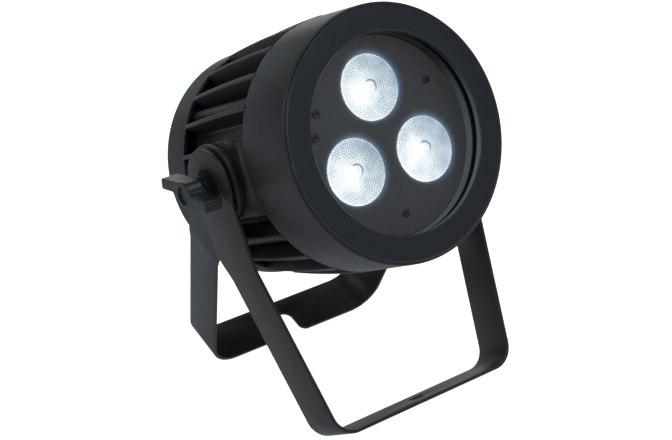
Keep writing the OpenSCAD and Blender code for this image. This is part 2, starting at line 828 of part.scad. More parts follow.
// Loop for the safety cable: a round eye on a threaded shank.
module safety_eye() {
    loop_d = -cover_back_d - 12;
    color(steel) on_head() translate([0, eye_u, 0]) difference() {
        union() {
            bar(7, -cover_back_d - 2, -cover_back_d);
            bar(3, loop_d + 6, cover_in_d + 7);
            translate([-2.5, 0, loop_d]) rotate([0, 90, 0]) cylinder(r = 9, h = 5);
        }
        translate([-5, 0, loop_d]) rotate([0, 90, 0]) cylinder(r = 5.5, h = 10);
    }
}

module eye_nut() {
    color(steel) on_head() translate([0, eye_u, 0]) difference() {
        translate([0, 0, cover_in_d]) cylinder(r = 5.8, h = 5, $fn = 6);
        bar(3 + play, cover_in_d - 1, cover_in_d + 6);
    }
}

// One menu button: a round cap outside and a wider foot that keeps it in the cover.
module menu_button(i) {
    foot_d = switch_d - button_travel - 0.1;
    color(rubber) on_head() translate([button_spots_x[i], button_row, 0]) union() {
        bar(button_r, -cover_back_d - button_proud, foot_d);
        bar(button_r + 1, cover_in_d + 0.1, foot_d);
    }
}

module button_menu() {
    menu_button(0);
}

module button_down() {
    menu_button(1);
}

module button_up() {
    menu_button(2);
}

module button_enter() {
    menu_button(3);
}

front_bracket();
lock_washers();
rear_bracket();
bezel_ring();
bezel_screws();
front_gasket();
front_glass();
glass_seal();
front_housing();
lens_panel();
panel_screws();
panel_standoffs();
lens_top();
lens_left();
lens_right();
lens_holders();
led_emitters();
led_board();
board_screws();
thermal_pad();
led_plug();
heat_sink();
housing_seal();
housing_screws();
pivot_inserts();
friction_discs();
pressure_washers();
spacer_washers();
rear_cover();
rear_seal();
cover_screws();
lower_pillars();
driver_board();
upper_pillars();
power_supply();
pillar_screws();
control_board();
control_screws();
button_switches();
display_module();
display_window();
power_sockets();
signal_sockets();
pressure_vent();
safety_eye();
eye_nut();
led_cable();
supply_cables();
button_menu();
button_down();
button_up();
button_enter();
knob_left();
knob_right();
stud_left();
stud_right();
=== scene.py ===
"""Looks for the par can light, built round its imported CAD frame.

Sizes are millimetres until mesh_piece() turns them into metres. Head parts are drawn in the
head's own frame: +Z looks out of the lamp, +Y is the top of the head and X is the tilt axis.
The lamps' glow on the panel and on the inner walls is emission in the materials.
"""
import json
import math

import bmesh
import bpy
from mathutils import Matrix, Vector


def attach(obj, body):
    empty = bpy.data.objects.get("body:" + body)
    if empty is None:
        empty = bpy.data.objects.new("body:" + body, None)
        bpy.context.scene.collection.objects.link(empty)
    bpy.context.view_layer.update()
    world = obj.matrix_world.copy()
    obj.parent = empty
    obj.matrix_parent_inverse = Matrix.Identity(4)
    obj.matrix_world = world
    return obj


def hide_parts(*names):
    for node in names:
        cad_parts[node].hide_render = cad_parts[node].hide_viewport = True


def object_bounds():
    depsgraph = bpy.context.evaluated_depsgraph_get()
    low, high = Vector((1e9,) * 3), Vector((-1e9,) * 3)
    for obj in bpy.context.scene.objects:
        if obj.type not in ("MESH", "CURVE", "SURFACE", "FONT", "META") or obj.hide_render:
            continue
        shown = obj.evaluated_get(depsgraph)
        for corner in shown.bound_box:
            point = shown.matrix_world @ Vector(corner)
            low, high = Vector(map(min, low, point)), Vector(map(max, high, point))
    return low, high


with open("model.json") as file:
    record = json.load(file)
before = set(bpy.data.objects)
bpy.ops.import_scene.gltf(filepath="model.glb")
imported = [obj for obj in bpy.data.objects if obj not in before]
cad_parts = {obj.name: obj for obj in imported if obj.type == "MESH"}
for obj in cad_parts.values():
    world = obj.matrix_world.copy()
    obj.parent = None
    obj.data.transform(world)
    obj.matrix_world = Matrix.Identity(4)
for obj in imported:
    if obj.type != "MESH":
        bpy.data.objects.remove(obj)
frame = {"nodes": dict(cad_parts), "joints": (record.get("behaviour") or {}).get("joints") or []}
cad_low, cad_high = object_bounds()
MM = 0.001
JOINTS = {j["name"]: j for j in frame["joints"]}

# ---- Placing ----

PIVOT = Vector(JOINTS["head_tilt"]["pos_m"])
AHEAD = Vector(JOINTS["menu_press"]["axis"]).normalized()
ACROSS = Vector((1, 0, 0))
UP = AHEAD.cross(ACROSS)
HEAD = Matrix.Translation(PIVOT) @ Matrix((ACROSS, UP, AHEAD)).transposed().to_4x4()
ON_AXIS = Matrix.Translation(PIVOT)


def head_box(node):
    """Lowest and highest corner of a CAD node in the head's frame, in millimetres."""
    back = HEAD.inverted()
    points = [back @ v.co / MM for v in frame["nodes"][node].data.vertices]
    return (Vector([min(p[i] for p in points) for i in range(3)]),
            Vector([max(p[i] for p in points) for i in range(3)]))


# ---- Mesh helpers ----

def mesh_piece(name, verts, faces, body, material, place=HEAD, sharp=35):
    """Makes one piece from millimetre vertices and lets it ride on a body."""
    mesh = bpy.data.meshes.new(name)
    mesh.from_pydata([Vector(v) * MM for v in verts], [], faces)
    mesh.validate()
    bm = bmesh.new()
    bm.from_mesh(mesh)
    bmesh.ops.recalc_face_normals(bm, faces=bm.faces)
    bm.to_mesh(mesh)
    bm.free()
    mesh.shade_smooth()
    mesh.set_sharp_from_angle(angle=math.radians(sharp))
    mesh.materials.append(material)
    obj = bpy.data.objects.new(name, mesh)
    bpy.context.scene.collection.objects.link(obj)
    obj.matrix_world = place
    if body:
        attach(obj, body)
    return obj


def rounded(points, radius, steps=5):
    """Rounds each corner of a closed outline. radius is one number or one per corner."""
    count = len(points)
    radii = radius if isinstance(radius, (list, tuple)) else [radius] * count
    out = []
    for i, p in enumerate(points):
        p = Vector(p)
        a, b = Vector(points[i - 1]), Vector(points[(i + 1) % count])
        u, v = (a - p), (b - p)
        half = u.angle(v) / 2 if u.length > 1e-9 and v.length > 1e-9 else math.pi / 2
        if radii[i] <= 0 or half > math.radians(88):
            out.append(tuple(p))
            continue
        reach = min(radii[i] / math.tan(half), u.length * 0.49, v.length * 0.49)
        r = reach * math.tan(half)
        u.normalize()
        v.normalize()
        centre = p + (u + v).normalized() * (r / math.sin(half))
        start, end = p + u * reach - centre, p + v * reach - centre
        for k in range(steps + 1):
            t = k / steps
            turn = start.lerp(end, t)
            out.append(tuple(centre + turn.normalized() * r))
    return out


def revolve_data(outline, segments=192, closed=True):
    """Vertices and faces of an outline of (radius, height) points turned about Z."""
    verts, faces, rings = [], [], []
    for r, z in outline:
        if r < 1e-6:
            rings.append([len(verts)] * segments)
            verts.append((0, 0, z))
        else:
            rings.append(list(range(len(verts), len(verts) + segments)))
            for s in range(segments):
                a = 2 * math.pi * s / segments
                verts.append((r * math.cos(a), r * math.sin(a), z))
    pairs = len(rings) if closed else len(rings) - 1
    for i in range(pairs):
        low, high = rings[i], rings[(i + 1) % len(rings)]
        for s in range(segments):
            n = (s + 1) % segments
            quad = [low[s], low[n], high[n], high[s]]
            face = [q for k, q in enumerate(quad) if q != quad[k - 1]]
            if len(face) > 2:
                faces.append(face)
    return verts, faces


def join_data(parts):
    """Several (vertices, faces) put into one pair."""
    verts, faces = [], []
    for v, f in parts:
        base = len(verts)
        verts += list(v)
        faces += [[base + i for i in face] for face in f]
    return verts, faces


def moved(data, matrix):
    """The same (vertices, faces), moved by a matrix in millimetres."""
    return [tuple(matrix @ Vector(v)) for v in data[0]], data[1]


def loft_data(rings, cap=True):
    """Skin over rings that all have the same number of points, with flat ends."""
    verts = [p for ring in rings for p in ring]
    n = len(rings[0])
    faces = []
    for i in range(len(rings) - 1):
        for k in range(n):
            a, b = i * n + k, i * n + (k + 1) % n
            faces.append([a, b, b + n, a + n])
    if cap:
        faces.append(list(range(n))[::-1])
        faces.append([(len(rings) - 1) * n + k for k in range(n)])
    return verts, faces


def prism_data(outline, low, high, edge=0.0, steps=3):
    """An outline raised from low to high, with its two end edges rounded by edge."""
    rings = []
    centre = sum((Vector(p) for p in outline), Vector((0, 0))) / len(outline)
    levels = []
    for k in range(steps + 1):
        a = math.pi / 2 * k / steps
        levels.append((low + edge * (1 - math.sin(a)), edge * (1 - math.cos(a))))
    levels = [(z, inset) for z, inset in reversed(levels)] if edge else [(low, 0)]
    top = [(high - (z - low), inset) for z, inset in reversed(levels)]
    for z, inset in levels + top:
        ring = inset_outline(outline, inset, centre)
        rings.append([(p[0], p[1], z) for p in ring])
    return loft_data(rings)


def inset_outline(outline, inset, centre):
    """The outline moved inward by inset along its corner normals."""
    if inset == 0:
        return [tuple(p) for p in outline]
    out = []
    count = len(outline)
    for i in range(count):
        a, p, b = (Vector(outline[i - 1]), Vector(outline[i]), Vector(outline[(i + 1) % count]))
        t = (b - a).normalized()
        n = Vector((-t.y, t.x))
        if n.dot(centre - p) < 0:
            n = -n
        out.append(tuple(p + n * inset))
    return out


def disc_outline(radius, segments=64, cx=0.0, cy=0.0):
    """Points round a circle."""
    return [(cx + radius * math.cos(2 * math.pi * k / segments),
             cy + radius * math.sin(2 * math.pi * k / segments)) for k in range(segments)]


def applied(obj):
    """Bakes an object's modifiers into its mesh."""
    graph = bpy.context.evaluated_depsgraph_get()
    mesh = bpy.data.meshes.new_from_object(obj.evaluated_get(graph))
    obj.modifiers.clear()
    obj.data = mesh
    return obj


def boolean(obj, data, kind="DIFFERENCE", place=HEAD):
    """Cuts or joins a (vertices, faces) shape into a piece."""
    tool = mesh_piece("tool", data[0], data[1], None, obj.data.materials[0], place)
    bpy.context.view_layer.update()
    modifier = obj.modifiers.new("cut", "BOOLEAN")
    modifier.operation, modifier.solver, modifier.object = kind, "EXACT", tool
    modifier.use_self = True
    applied(obj)
    bpy.data.objects.remove(tool)
    return obj


def bevelled(obj, width, steps=3, angle=30):
    """Rounds a piece's sharp edges."""
    modifier = obj.modifiers.new("edges", "BEVEL")
    modifier.width, modifier.segments = width * MM, steps
    modifier.limit_method, modifier.angle_limit = "ANGLE", math.radians(angle)
    modifier.use_clamp_overlap = False
    modifier.miter_outer = "MITER_ARC"
    applied(obj)
    smooth(obj)
    return obj


def smooth(obj, angle=35):
    """Smooth shading with edges sharper than angle kept."""
    obj.data.shade_smooth()
    obj.data.set_sharp_from_angle(angle=math.radians(angle))


def remeshed(obj, voxel, rounds):
    """Fuses a piece's overlapping shells into one moulded skin and softens it."""
    modifier = obj.modifiers.new("fuse", "REMESH")
    modifier.mode, modifier.voxel_size = "VOXEL", voxel * MM
    soften = obj.modifiers.new("soften", "SMOOTH")
    soften.factor, soften.iterations = 0.5, rounds
    applied(obj)
    obj.data.shade_smooth()
    return obj


def edge_softener():
    """A node modifier that welds a CAD mesh and smooths all but its sharp edges."""
    tree = bpy.data.node_groups.new("soft_edges", "GeometryNodeTree")
    tree.interface.new_socket("Geometry", in_out="INPUT", socket_type="NodeSocketGeometry")
    tree.interface.new_socket("Geometry", in_out="OUTPUT", socket_type="NodeSocketGeometry")
    new, link = tree.nodes.new, tree.links.new
    source, sink = new("NodeGroupInput"), new("NodeGroupOutput")
    plain = new("GeometryNodeRemoveAttribute")
    plain.inputs["Name"].default_value = "custom_normal"
    faces, edges = new("GeometryNodeSetShadeSmooth"), new("GeometryNodeSetShadeSmooth")
    edges.domain = "EDGE"
    edges.inputs["Shade Smooth"].default_value = False
    bend, compare = new("GeometryNodeInputMeshEdgeAngle"), new("FunctionNodeCompare")
    compare.operation = "GREATER_THAN"
    compare.inputs["B"].default_value = math.radians(35)
    link(source.outputs[0], plain.inputs["Geometry"])
    link(plain.outputs[0], faces.inputs["Geometry"])
    link(faces.outputs[0], edges.inputs["Geometry"])
    link(bend.outputs["Unsigned Angle"], compare.inputs["A"])
    link(compare.outputs[0], edges.inputs["Selection"])
    link(edges.outputs[0], sink.inputs[0])
    return tree


SOFT_EDGES = edge_softener()


def dress(node, material, bevel=0.0, steps=2):
    """Gives a CAD node its material, welded and rounded edges and smooth shading."""
    obj = frame["nodes"][node]
    obj.data.materials.clear()
    obj.data.materials.append(material)
    weld = obj.modifiers.new("weld", "WELD")
    weld.merge_threshold = 2e-6
    if bevel:
        flat = obj.modifiers.new("flat", "DECIMATE")
        flat.decimate_type, flat.angle_limit = "DISSOLVE", math.radians(0.3)
        edges = obj.modifiers.new("edges", "BEVEL")
        edges.width, edges.segments = bevel * MM, steps
        edges.limit_method, edges.angle_limit = "ANGLE", math.radians(32)
        edges.use_clamp_overlap = False
    shade = obj.modifiers.new("shade", "NODES")
    shade.node_group = SOFT_EDGES
    return obj


# ---- Materials ----

class Shader:
    """A node material being built, with short calls for its nodes."""

    def __init__(self, name):
        self.material = bpy.data.materials.new(name)
        self.material.use_nodes = True
        self.tree = self.material.node_tree
        self.tree.nodes.clear()

    def add(self, kind, inputs=None, **settings):
        """Makes a node; inputs maps socket names or numbers to values or to other sockets."""
        node = self.tree.nodes.new("ShaderNode" + kind)
        for key, value in settings.items():
            setattr(node, key, value)
        for key, value in (inputs or {}).items():
            if isinstance(value, bpy.types.NodeSocket):
                self.tree.links.new(value, node.inputs[key])
            else:
                node.inputs[key].default_value = value
        return node

    def maths(self, kind, a, b=0.0, c=0.0):
        """One number from a maths node."""
        return self.add("Math", {0: a, 1: b, 2: c}, operation=kind).outputs[0]

    def vector(self, kind, a, b=(0, 0, 0), **settings):
        """A vector maths node."""
        return self.add("VectorMath", {0: a, 1: b}, operation=kind, **settings)

    def ramp(self, value, low, high, out_low=0.0, out_high=1.0):
        """value carried smoothly from one range to another."""
        node = self.add("MapRange", {"Value": value, "From Min": low, "From Max": high,
                                     "To Min": out_low, "To Max": out_high},
                        interpolation_type="SMOOTHSTEP")
        return node.outputs[0]

    def mix(self, factor, a, b):
        """A blend of two colours."""
        node = self.add("Mix", data_type="RGBA")
        for key, value in ((0, factor), (6, a), (7, b)):
            if isinstance(value, bpy.types.NodeSocket):
                self.tree.links.new(value, node.inputs[key])
            else:
                node.inputs[key].default_value = value
        return node.outputs[2]

    def noise(self, where, size_mm, detail=2.0, rough=0.5):
        """Noise whose features are about size_mm across."""
        node = self.add("TexNoise", {"Vector": where, "Scale": 1 / (size_mm * MM),
                                     "Detail": detail, "Roughness": rough})
        return node.outputs["Fac"]

    def bump(self, height, depth_mm, strength=1.0, normal=None):
        """A bumped normal."""
        inputs = {"Height": height, "Distance": depth_mm * MM, "Strength": strength}
        if normal is not None:
            inputs["Normal"] = normal
        return self.add("Bump", inputs).outputs[0]

    def finish(self, surface):
        """Joins the surface to the output and returns the material."""
        out = self.add("OutputMaterial")
        self.tree.links.new(surface, out.inputs["Surface"])
        return self.material


def rgb(*colour):
    """A linear colour with full alpha."""
    return (*colour, 1.0)


def scaled(colour, factor):
    """A colour made lighter or darker."""
    return rgb(*[c * factor for c in colour])


def coating(name, colour, rough, grain=0.4, depth=0.012, patch=0.08, fleck=0.0, edge_rub_and_highlight_strength=0.5,
            edge_rub_and_highlight_tone=2.2, metallic=0.0, specular=0.5, spill=None):
    """Paint, plastic, rubber or metal: grain bump, patchy colour and shine, and edges lightened
    partly by rubbing and partly by a painted highlight.

    spill is (radius, height): walls inside that radius and below that height glow faintly, as if
    they caught the lamps' light. That light is painted on and strongest at the head's lower right.
    """
    s = Shader(name)
    where = s.add("TexCoord").outputs["Object"]
    fine = s.noise(where, grain, 3.0, 0.6)
    patchy = s.noise(where, 45, 2.0, 0.5)
    smudge = s.noise(where, 16, 3.0, 0.5)
    tone = s.mix(s.ramp(patchy, 0.3, 0.7), scaled(colour, 1 - patch), scaled(colour, 1 + patch))
    if fleck:
        speck = s.ramp(s.noise(where, grain * 0.8, 1.0, 0.4), 0.62, 0.74)
        tone = s.mix(s.maths("MULTIPLY", speck, fleck), tone, scaled(colour, 2.6))
    edge = s.add("Bevel", {"Radius": 0.7 * MM}, samples=4).outputs[0]
    flat = s.add("NewGeometry").outputs["Normal"]
    turn = s.vector("DOT_PRODUCT", edge, flat).outputs["Value"]
    # Edges are lightened here, partly as wear and partly as a painted highlight where light would
    # catch them.
    edge_rub_and_highlight = s.maths("MULTIPLY", s.ramp(turn, 0.995, 0.86), s.ramp(smudge, 0.35, 0.6, 0.35, 1.0))
    tone = s.mix(s.maths("MULTIPLY", edge_rub_and_highlight, edge_rub_and_highlight_strength * 0.5), tone, scaled(colour, edge_rub_and_highlight_tone))
    shine = s.maths("ADD", s.ramp(smudge, 0.3, 0.7, rough - 0.015, rough + 0.02),
                    s.maths("MULTIPLY", s.maths("SUBTRACT", fine, 0.5), 0.12))
    shine = s.maths("SUBTRACT", shine, s.maths("MULTIPLY", edge_rub_and_highlight, 0.08 * edge_rub_and_highlight_strength))
    caught = 0.0
    if spill:
        spot = s.vector("MULTIPLY", where, (1 / MM, 1 / MM, 0)).outputs[0]
        inside = s.ramp(s.vector("LENGTH", spot).outputs["Value"], spill[0], spill[0] - 0.3)
        height = s.maths("DIVIDE", s.add("SeparateXYZ", {0: where}).outputs["Z"], MM)
        below = s.maths("MULTIPLY", inside, s.ramp(height, spill[1], spill[1] - 0.4))
        toward = s.vector("DOT_PRODUCT", s.vector("NORMALIZE", spot).outputs[0], (0.72, -0.69, 0))
        caught = s.maths("MULTIPLY", below, s.ramp(toward.outputs["Value"], 0.1, 0.95, 0.003, 0.07))
    body = s.add("BsdfPrincipled", {
        "Emission Color": rgb(0.72, 0.92, 1.0), "Emission Strength": caught,
        "Base Color": tone, "Roughness": shine, "Metallic": metallic,
        "Specular IOR Level": specular, "Normal": s.bump(fine, depth),
        "Coat Weight": s.maths("MULTIPLY", s.ramp(turn, 0.998, 0.93), min(1.0, edge_rub_and_highlight_strength)),
        "Coat Roughness": 0.14, "Coat IOR": 1.6})
    return s.finish(body.outputs[0])


def brushed(name, colour, rough):
    """Turned or brushed metal: fine stretched scratches and dull patches."""
    s = Shader(name)
    where = s.add("TexCoord").outputs["Object"]
    stretched = s.add("Mapping", {"Vector": where, "Scale": (12, 1, 1)}).outputs[0]
    scratch = s.noise(stretched, 0.9, 4.0, 0.7)
    dull = s.noise(where, 5, 3.0, 0.6)
    tone = s.mix(dull, scaled(colour, 0.8), scaled(colour, 1.1))
    shine = s.maths("ADD", s.ramp(dull, 0.3, 0.7, rough - 0.06, rough + 0.1),
                    s.maths("MULTIPLY", scratch, 0.1))
    body = s.add("BsdfPrincipled", {"Base Color": tone, "Roughness": shine, "Metallic": 1.0,
                                    "Normal": s.bump(scratch, 0.006)})
    return s.finish(body.outputs[0])


def board(name, colour):
    """Solder mask with faint tracks and pads showing through."""
    s = Shader(name)
    where = s.add("TexCoord").outputs["Object"]
    tracks = s.add("TexBrick", {"Vector": where, "Scale": 1 / (9 * MM), "Mortar Size": 0.05,
                                "Color1": scaled(colour, 0.9), "Color2": scaled(colour, 1.05),
                                "Mortar": scaled(colour, 1.5)})
    dust = s.noise(where, 3, 3.0, 0.6)
    tone = s.mix(s.ramp(dust, 0.4, 0.9, 0, 0.2), tracks.outputs["Color"], rgb(0.4, 0.4, 0.38))
    shine = s.ramp(dust, 0.3, 0.7, 0.3, 0.45)
    body = s.add("BsdfPrincipled", {"Base Color": tone, "Roughness": shine,
                                    "Normal": s.bump(tracks.outputs["Fac"], 0.03)})
    return s.finish(body.outputs[0])


def clear_glass(name, tint):
    """Thin clear pane: the camera sees its reflections, and light goes straight through."""
    s = Shader(name)
    where = s.add("TexCoord").outputs["Object"]
    film = s.noise(where, 30, 3.0, 0.6)
    hazy = s.ramp(film, 0.3, 0.7, 0.24, 0.32)
    mirror = s.add("BsdfGlossy", {"Color": rgb(1, 1, 1), "Roughness": hazy})
    through = s.add("BsdfTransparent", {"Color": tint})
    facing = s.maths("MULTIPLY", s.add("Fresnel", {"IOR": 1.25}).outputs[0], 0.4)
    seen = s.maths("MULTIPLY", facing, s.add("LightPath").outputs["Is Camera Ray"])
    blend = s.add("MixShader", {0: seen, 1: through.outputs[0], 2: mirror.outputs[0]})
    return s.finish(blend.outputs[0])


def lens_glow(name, centre):
    """Lit lens face: a soft white field with a deep hot spot, detailed to the camera only."""
    s = Shader(name)
    where = s.add("TexCoord").outputs["Object"]
    local = s.vector("SUBTRACT", where, (centre[0] * MM, centre[1] * MM, centre[2] * MM)).outputs[0]
    look = s.add("VectorTransform", {0: s.add("NewGeometry").outputs["Incoming"]},
                 vector_type="VECTOR", convert_from="WORLD", convert_to="OBJECT").outputs[0]
    parts = s.add("SeparateXYZ", {0: look})
    tall = s.maths("MAXIMUM", parts.outputs["Z"], 0.25)

    def deep(depth_mm):
        shift = s.maths("DIVIDE", -depth_mm * MM, tall)
        scale = s.add("VectorMath", {0: look, "Scale": shift}, operation="SCALE").outputs[0]
        point = s.vector("ADD", local, scale).outputs[0]
        return s.vector("MULTIPLY", point, (1 / MM, 1 / MM, 0)).outputs[0]

    face = s.vector("MULTIPLY", local, (1 / MM, 1 / MM, 0)).outputs[0]
    face_reach = s.vector("LENGTH", face).outputs["Value"]
    spot, well = deep(7.0), deep(1.5)
    reach = s.vector("LENGTH", spot).outputs["Value"]
    hexes, waves = [], []
    for k in range(3):
        a = math.radians(60 * k + 10)
        along = s.vector("DOT_PRODUCT", spot, (math.cos(a), math.sin(a), 0)).outputs["Value"]
        hexes.append(s.maths("ABSOLUTE", along))
        a = math.radians(60 * k + 30)
        phase = s.vector("DOT_PRODUCT", face, (math.cos(a), math.sin(a), 0)).outputs["Value"]
        turns = 4 * math.pi / (math.sqrt(3) * LENSLET)
        waves.append(s.maths("COSINE", s.maths("MULTIPLY", phase, turns)))
    hexed = s.maths("MAXIMUM", s.maths("MAXIMUM", hexes[0], hexes[1]), hexes[2])
    halo = s.maths("POWER", s.ramp(hexed, 15.0, 5.0), 0.8)
    wave = s.maths("ADD", s.maths("ADD", waves[0], waves[1]), waves[2])
    cells = s.ramp(wave, -1.5, 1.6, -1.0, 0.6)
    drift = s.vector("ADD", face, (3 * centre[0], centre[1], 0)).outputs[0]
    cloud = s.ramp(s.noise(drift, 9000, 3.0, 0.6), 0.3, 0.7, -0.1, 0.1)
    lean = s.vector("DOT_PRODUCT", face, (-0.011, -0.007, 0)).outputs["Value"]
    level = s.maths("ADD", s.maths("ADD", 0.92, lean),
                    s.maths("ADD", cloud, s.maths("MULTIPLY", halo, 0.2)))
    grid = s.maths("MULTIPLY", cells, s.ramp(halo, 0.0, 1.0, 0.42, 0.25))
    level = s.maths("MULTIPLY", level, s.maths("ADD", 1.0, grid))
    level = s.maths("ADD", level, s.maths("MULTIPLY", s.ramp(face_reach, 20.0, 20.9), 0.12))
    offset = s.vector("SUBTRACT", well, (1.4, 0.3, 0)).outputs[0]
    well_reach = s.vector("LENGTH", offset).outputs["Value"]
    ring = s.maths("MULTIPLY", s.ramp(well_reach, 3.2, 4.3), s.ramp(well_reach, 5.3, 4.5))
    shade = s.ramp(s.vector("DOT_PRODUCT", s.vector("NORMALIZE", offset).outputs[0],
                            (0.75, 0.66, 0)).outputs["Value"], -0.3, 0.75, 0.05, 0.62)
    level = s.maths("MULTIPLY", level, s.maths("SUBTRACT", 1.0, s.maths("MULTIPLY", ring, shade)))
    level = s.maths("ADD", level, s.maths("MULTIPLY", s.ramp(reach, 5.0, 2.4), 1.6))
    tint = s.mix(s.ramp(level, 0.4, 0.95), rgb(0.56, 0.81, 0.98), rgb(0.95, 0.99, 1.0))
    eye = s.add("LightPath").outputs["Is Camera Ray"]
    unseen = s.maths("SUBTRACT", 1.0, eye)
    strength = s.maths("ADD", s.maths("MULTIPLY", level, eye), unseen)
    glow = s.add("Emission", {"Color": tint, "Strength": strength})
    gloss = s.add("BsdfGlossy", {"Color": rgb(0.9, 0.95, 1.0), "Roughness": 0.12})
    blend = s.add("MixShader", {0: 0.05, 1: glow.outputs[0], 2: gloss.outputs[0]})
    return s.finish(blend.outputs[0])


LENSLET = 1.5
# The straps share one paint; these two copies are tinted warm and cool as painted reflections of
# the light round each strap.
WARM_LIT_STRAP = coating("strap_coat_warm_lit", (0.030, 0.029, 0.026), 0.42, grain=0.5, depth=0.005, patch=0.05)
COOL_LIT_STRAP = coating("strap_coat_cool_lit", (0.027, 0.029, 0.033), 0.42, grain=0.5, depth=0.005,
                     patch=0.05)
CAST = coating("cast_paint", (0.024, 0.024, 0.024), 0.42, grain=0.45, depth=0.004, patch=0.04,
               edge_rub_and_highlight_strength=1.0, edge_rub_and_highlight_tone=3.0)
KNOB = coating("knob_plastic", (0.014, 0.017, 0.02), 0.34, grain=0.7, depth=0.004, edge_rub_and_highlight_strength=0.5)
BLACK_STEEL = coating("black_steel", (0.012, 0.012, 0.013), 0.35, grain=0.6, depth=0.004, edge_rub_and_highlight_strength=0.8)
MOULDED = coating("moulded_plastic", (0.02, 0.02, 0.022), 0.45, grain=0.5, depth=0.012, edge_rub_and_highlight_strength=0.3)
RUBBER = coating("seal_rubber", (0.012, 0.012, 0.013), 0.6, grain=0.9, depth=0.02, edge_rub_and_highlight_strength=0.15)
BUTTON = coating("button_rubber", (0.06, 0.062, 0.066), 0.55, grain=0.6, depth=0.015, edge_rub_and_highlight_strength=0.2)
ZINC = brushed("zinc_steel", (0.55, 0.56, 0.58), 0.32)
DARK_STEEL = brushed("dark_steel", (0.16, 0.16, 0.17), 0.34)
BRASS = brushed("turned_brass", (0.75, 0.58, 0.3), 0.3)
GREEN = board("solder_mask_green", (0.02, 0.12, 0.06))
WHITE = board("solder_mask_white", (0.75, 0.75, 0.73))
NYLON = coating("natural_nylon", (0.7, 0.69, 0.62), 0.5, grain=0.8, edge_rub_and_highlight_strength=0.0)
FILM = coating("thermal_film", (0.35, 0.35, 0.37), 0.7, grain=0.6, edge_rub_and_highlight_strength=0.0)
PHOSPHOR = coating("led_phosphor", (0.8, 0.7, 0.25), 0.5, grain=0.4, edge_rub_and_highlight_strength=0.0)
RED_WIRE = coating("red_insulation", (0.4, 0.02, 0.02), 0.4, grain=1.2, edge_rub_and_highlight_strength=0.0)
BLACK_WIRE = coating("black_insulation", (0.015, 0.015, 0.016), 0.4, grain=1.2, edge_rub_and_highlight_strength=0.0)
SEGMENTS = coating("dark_segments", (0.03, 0.03, 0.033), 0.3, grain=0.5, edge_rub_and_highlight_strength=0.0)
GLASS = clear_glass("front_pane", (0.97, 0.985, 1.0, 1.0))
RED_PANE = clear_glass("red_pane", (0.35, 0.02, 0.02, 1.0))

# ---- Head ----

bezel_low, bezel_high = head_box("bezel_ring")
shell_low, shell_high = head_box("front_housing")
cover_low, cover_high = head_box("rear_cover")
panel_low, panel_high = head_box("lens_panel")
glass_low, glass_high = head_box("front_glass")
SCREW_SPOTS = (45, 135, 225, 315)
PANEL_SCREW_SPOTS, PANEL_SCREW_RING, PANEL_SCREW_SEAT = (30, 150, 166.9, 270), 51.6, 3.2
COVER_SCREW_RING = 65
OPENING, LEDGE = 64.6, 65.4
SHELL_FRONT_R, FACE_CHAMFER = 83.2, 0.8
TUBE_IN, TUBE_R, TUBE_BACK = 62, 68, -64
PLATE_R, PLATE_BACK, PLATE_FRONT = 81.2, 34, 42
FIN_COUNT = 24


def turned_piece(name, outline, material, segments=256):
    """A ring or disc of the head, turned about its centre line."""
    verts, faces = revolve_data(outline, segments)
    return mesh_piece(name, verts, faces, "head", material)


# The bezel and shell paints carry painted light: edges painted up to five times lighter as a
# highlight, and the lamps' spill on the inner walls.
FINE = coating("bezel_powder", (0.015, 0.018, 0.023), 0.45, grain=0.55, depth=0.02, fleck=0.6,
               edge_rub_and_highlight_strength=1.7, edge_rub_and_highlight_tone=5.0, spill=(OPENING + 0.35, bezel_high.z - 0.6))
SHELL = coating("shell_paint", (0.024, 0.024, 0.024), 0.42, grain=0.45, depth=0.004, patch=0.04,
                edge_rub_and_highlight_strength=1.6, edge_rub_and_highlight_tone=5.0, spill=(LEDGE + 0.35, bezel_low.z - 0.3))


def make_bezel():
    """Flat painted ring with a crisp chamfer round both edges of its face."""
    back, face, rim = bezel_low.z, bezel_high.z, bezel_high.x
    outline = rounded(
        [(OPENING, back), (OPENING, face - 0.4), (OPENING + 0.4, face),
         (rim - FACE_CHAMFER, face), (rim, face - FACE_CHAMFER), (rim, back)],
        [0.2, 0.05, 0.05, 0.1, 0.1, 0.2])
    piece = turned_piece("bezel", outline, FINE)
    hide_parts("bezel_ring")


def make_housing():
    """Smooth shell, the pocket for the glass and the stepped wall seen round the lens panel."""
    rear, front = shell_low.z, shell_high.z
    outer, seam, pocket = shell_high.x, bezel_high.x + 0.12, glass_high.x + 0.4
    ledge = glass_low.z - 1.0
    outline = rounded(
        [(81.5, rear), (outer, rear), (SHELL_FRONT_R, front), (seam, front), (seam, bezel_low.z),
         (pocket, bezel_low.z), (pocket, ledge), (LEDGE, ledge), (LEDGE, ledge - 6.5),
         (pocket + 2, ledge - 6.5), (pocket + 2, bezel_low.z - 4.5), (80.5, bezel_low.z - 4.5),
         (80.5, 45), (81.5, 44)],
        [0.3, 0.4, 0.7, 0.1, 0, 0.2, 0, 0.35, 0.2, 0.2, 0.3, 0.3, 0, 0])
    piece = turned_piece("housing_shell", outline, SHELL)
    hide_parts("front_housing")


